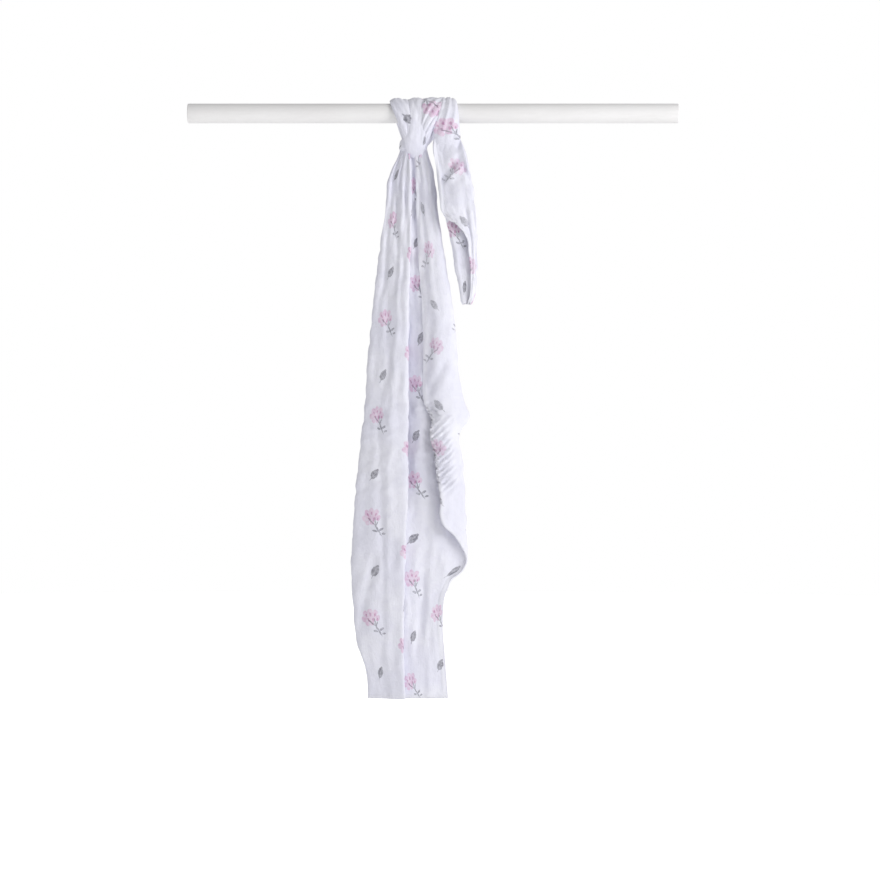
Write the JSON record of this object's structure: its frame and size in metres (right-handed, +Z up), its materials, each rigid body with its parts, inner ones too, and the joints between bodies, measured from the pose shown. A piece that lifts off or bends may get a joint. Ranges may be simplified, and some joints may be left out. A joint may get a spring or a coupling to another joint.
{
  "type": "swaddle blanket knotted on a hanging pole",
  "caption": "Muslin swaddle blanket tied round a plain horizontal pole, hanging in long folds below its knot, with a short free end beside it.",
  "frame": {"origin": "centre of the pole's left end face, as seen from the front", "axes": "+X along the pole to its right end, +Z up, -Y towards the viewer, the side on which the knot's free end hangs"},
  "size_m": [0.704, 0.0831, 0.8619],
  "materials": {
    "muslin": "soft crinkled cotton muslin with a small printed sprig and leaf",
    "pole_paint": "smooth white paint on wood"
  },
  "bodies": {
    "root": {"blanket": "muslin", "pole": "pole_paint"}
  },
  "joints": []
}
